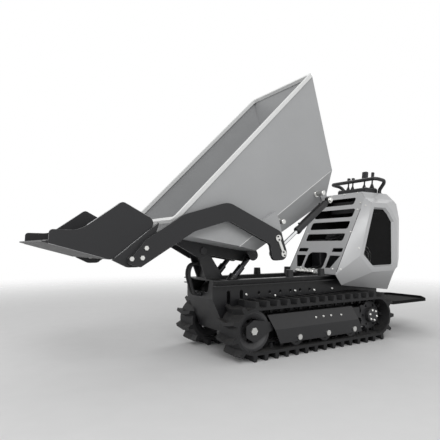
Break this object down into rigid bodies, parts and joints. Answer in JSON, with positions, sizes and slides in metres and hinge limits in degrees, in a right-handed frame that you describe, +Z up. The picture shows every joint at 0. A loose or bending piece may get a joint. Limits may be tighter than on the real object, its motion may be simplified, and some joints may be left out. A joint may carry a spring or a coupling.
{
  "type": "tracked power carrier",
  "caption": "Self-loading tracked power carrier with a forward-tipping skip, bent-arm loader bucket, rubber tracks, engine housing and folding operator platform.",
  "frame": {"origin": "on the ground under the middle of the machine, midway between the tracks", "axes": "+X forward towards the bucket, +Y to the machine's left, +Z up"},
  "size_m": [3.0819, 0.766, 1.8271],
  "materials": {
    "black_steel": "satin black powder coat",
    "rubber": "matte",
    "bright_steel": "zinc plated",
    "chrome_rod": "polished",
    "cast_wheel": "painted black",
    "engine_metal": "cast",
    "black_plastic": "moulded",
    "grey_paint": "light grey paint",
    "rim_metal": "light grey paint",
    "tank_paint": "dark paint"
  },
  "bodies": {
    "chassis": {"chassis_sides": "black_steel", "chassis_crossmembers": "black_steel", "pivot_stand": "black_steel", "skip_buffers": "rubber", "left_track_frame": "black_steel", "right_track_frame": "black_steel", "left_rubber_track": "rubber", "right_rubber_track": "rubber", "idler_brackets": "black_steel", "wheel_axles": "bright_steel", "left_side_guard": "black_steel", "right_side_guard": "black_steel", "drive_motors": "cast_wheel", "engine_block": "engine_metal", "recoil_starter": "black_plastic", "fuel_tank": "black_plastic", "hydraulic_tank": "tank_paint", "valve_block": "bright_steel", "front_grille": "grey_paint", "left_side_cover": "grey_paint", "right_side_cover": "grey_paint", "window_meshes": "black_steel", "rear_panel": "black_plastic", "top_cover": "grey_paint", "control_console": "black_plastic", "handlebar": "black_steel", "chassis_hoses": "rubber", "platform_pin": "bright_steel"},
    "skip": {"skip_hopper": "grey_paint", "skip_rim": "rim_metal", "skip_cradle": "black_steel", "tipping_pin": "bright_steel", "loader_brackets": "black_steel"},
    "loader": {"left_loader_arm": "black_steel", "right_loader_arm": "black_steel", "bucket": "black_steel", "arm_pins": "bright_steel", "bucket_bolts": "bright_steel"},
    "tip_rods": {"tip_rods": "chrome_rod"},
    "tip_sleeves": {"tip_sleeves": "black_steel"},
    "tip_barrels": {"tip_barrels": "black_steel"},
    "rear_platform": {"rear_platform": "black_steel"},
    "left_loader_rod": {"left_loader_rod": "chrome_rod"},
    "left_loader_barrel": {"left_loader_barrel": "black_steel"},
    "left_sprocket_body": {"left_sprocket": "cast_wheel"},
    "left_idler_body": {"left_idler": "cast_wheel"},
    "left_roller_1_body": {"left_roller_1": "cast_wheel"},
    "left_roller_2_body": {"left_roller_2": "cast_wheel"},
    "left_roller_3_body": {"left_roller_3": "cast_wheel"},
    "right_loader_rod": {"right_loader_rod": "chrome_rod"},
    "right_loader_barrel": {"right_loader_barrel": "black_steel"},
    "right_sprocket_body": {"right_sprocket": "cast_wheel"},
    "right_idler_body": {"right_idler": "cast_wheel"},
    "right_roller_1_body": {"right_roller_1": "cast_wheel"},
    "right_roller_2_body": {"right_roller_2": "cast_wheel"},
    "right_roller_3_body": {"right_roller_3": "cast_wheel"},
    "right_drive_lever_body": {"right_drive_lever": "black_plastic"},
    "left_drive_lever_body": {"left_drive_lever": "black_plastic"},
    "skip_lever_body": {"skip_lever": "black_plastic"},
    "loader_lever_body": {"loader_lever": "black_plastic"}
  },
  "joints": [
    {"name": "skip_tip", "type": "hinge", "parent": "chassis", "child": "skip", "pos_m": [0.555, 0, 0.64], "axis": [0, 1, 0], "range_deg": [-28, 18]},
    {"name": "arm_lift", "type": "hinge", "parent": "skip", "child": "loader", "pos_m": [0.20902, 0, 0.71693], "axis": [0, 1, 0], "range_deg": [-60, 51]},
    {"name": "left_loader_rod_swing", "type": "hinge", "parent": "loader", "child": "left_loader_rod", "pos_m": [0.16802, 0.282, 0.62397], "axis": [0, 1, 0], "range_deg": [-49.2, 57.8]},
    {"name": "left_loader_barrel_slide", "type": "slide", "parent": "left_loader_rod", "child": "left_loader_barrel", "axis": [-0.8021, 0, 0.5972], "range_m": [-0.0794, 0.0933]},
    {"name": "right_loader_rod_swing", "type": "hinge", "parent": "loader", "child": "right_loader_rod", "pos_m": [0.16802, -0.282, 0.62397], "axis": [0, 1, 0], "range_deg": [-49.2, 57.8]},
    {"name": "right_loader_barrel_slide", "type": "slide", "parent": "right_loader_rod", "child": "right_loader_barrel", "axis": [-0.8021, 0, 0.5972], "range_m": [-0.0794, 0.0933]},
    {"name": "tip_rod_swing", "type": "hinge", "parent": "skip", "child": "tip_rods", "pos_m": [0.22192, 0, 0.61211], "axis": [0, 1, 0], "range_deg": [-8.51, 12.96]},
    {"name": "tip_sleeve_slide", "type": "slide", "parent": "tip_rods", "child": "tip_sleeves", "axis": [0.6949, 0, -0.7192], "range_m": [-0.0635, 0.0412]},
    {"name": "tip_barrel_slide", "type": "slide", "parent": "tip_sleeves", "child": "tip_barrels", "axis": [0.6949, 0, -0.7192], "range_m": [-0.0687, 0.0445]},
    {"name": "platform_fold", "type": "hinge", "parent": "chassis", "child": "rear_platform", "pos_m": [-0.986, 0, 0.232], "axis": [0, 1, 0], "range_deg": [0, 62]},
    {"name": "right_drive_lever", "type": "hinge", "parent": "chassis", "child": "right_drive_lever_body", "pos_m": [-0.968, -0.118, 1.104], "axis": [0, 1, 0], "range_deg": [-15, 15], "stiffness_Nm_per_rad": 1.5},
    {"name": "left_drive_lever", "type": "hinge", "parent": "chassis", "child": "left_drive_lever_body", "pos_m": [-0.968, -0.072, 1.104], "axis": [0, 1, 0], "range_deg": [-15, 15], "stiffness_Nm_per_rad": 1.5},
    {"name": "skip_lever", "type": "hinge", "parent": "chassis", "child": "skip_lever_body", "pos_m": [-0.968, 0.048, 1.104], "axis": [0, 1, 0], "range_deg": [-15, 15], "stiffness_Nm_per_rad": 1.5},
    {"name": "loader_lever", "type": "hinge", "parent": "chassis", "child": "loader_lever_body", "pos_m": [-0.968, 0.124, 1.104], "axis": [0, 1, 0], "range_deg": [-15, 15], "stiffness_Nm_per_rad": 1.5},
    {"name": "left_sprocket_spin", "type": "hinge", "parent": "chassis", "child": "left_sprocket_body", "pos_m": [-0.72975, 0.26, 0.17212], "axis": [0, 1, 0], "continuous": true},
    {"name": "left_idler_spin", "type": "hinge", "parent": "chassis", "child": "left_idler_body", "pos_m": [0.357, 0.26, 0.17212], "axis": [0, 1, 0], "continuous": true},
    {"name": "left_roller_1_spin", "type": "hinge", "parent": "chassis", "child": "left_roller_1_body", "pos_m": [0.02, 0.26, 0.1076], "axis": [0, 1, 0], "continuous": true},
    {"name": "left_roller_2_spin", "type": "hinge", "parent": "chassis", "child": "left_roller_2_body", "pos_m": [-0.2285, 0.26, 0.1076], "axis": [0, 1, 0], "continuous": true},
    {"name": "left_roller_3_spin", "type": "hinge", "parent": "chassis", "child": "left_roller_3_body", "pos_m": [-0.477, 0.26, 0.1076], "axis": [0, 1, 0], "continuous": true},
    {"name": "right_sprocket_spin", "type": "hinge", "parent": "chassis", "child": "right_sprocket_body", "pos_m": [-0.72975, -0.26, 0.17212], "axis": [0, 1, 0], "continuous": true},
    {"name": "right_idler_spin", "type": "hinge", "parent": "chassis", "child": "right_idler_body", "pos_m": [0.357, -0.26, 0.17212], "axis": [0, 1, 0], "continuous": true},
    {"name": "right_roller_1_spin", "type": "hinge", "parent": "chassis", "child": "right_roller_1_body", "pos_m": [0.02, -0.26, 0.1076], "axis": [0, 1, 0], "continuous": true},
    {"name": "right_roller_2_spin", "type": "hinge", "parent": "chassis", "child": "right_roller_2_body", "pos_m": [-0.2285, -0.26, 0.1076], "axis": [0, 1, 0], "continuous": true},
    {"name": "right_roller_3_spin", "type": "hinge", "parent": "chassis", "child": "right_roller_3_body", "pos_m": [-0.477, -0.26, 0.1076], "axis": [0, 1, 0], "continuous": true}
  ],
  "couplings": [
    {"joint": "left_loader_rod_swing", "follows": "arm_lift", "ratio": -0.955},
    {"joint": "left_loader_barrel_slide", "follows": "arm_lift", "m_per_rad": -0.0881},
    {"joint": "right_loader_rod_swing", "follows": "arm_lift", "ratio": -0.955},
    {"joint": "right_loader_barrel_slide", "follows": "arm_lift", "m_per_rad": -0.0881},
    {"joint": "tip_rod_swing", "follows": "skip_tip", "ratio": -0.445},
    {"joint": "tip_sleeve_slide", "follows": "skip_tip", "m_per_rad": 0.12792},
    {"joint": "tip_barrel_slide", "follows": "skip_tip", "m_per_rad": 0.13858},
    {"joint": "left_idler_spin", "follows": "left_sprocket_spin", "ratio": 1},
    {"joint": "left_roller_1_spin", "follows": "left_sprocket_spin", "ratio": 2.3295},
    {"joint": "left_roller_2_spin", "follows": "left_sprocket_spin", "ratio": 2.3295},
    {"joint": "left_roller_3_spin", "follows": "left_sprocket_spin", "ratio": 2.3295},
    {"joint": "right_idler_spin", "follows": "right_sprocket_spin", "ratio": 1},
    {"joint": "right_roller_1_spin", "follows": "right_sprocket_spin", "ratio": 2.3295},
    {"joint": "right_roller_2_spin", "follows": "right_sprocket_spin", "ratio": 2.3295},
    {"joint": "right_roller_3_spin", "follows": "right_sprocket_spin", "ratio": 2.3295}
  ]
}
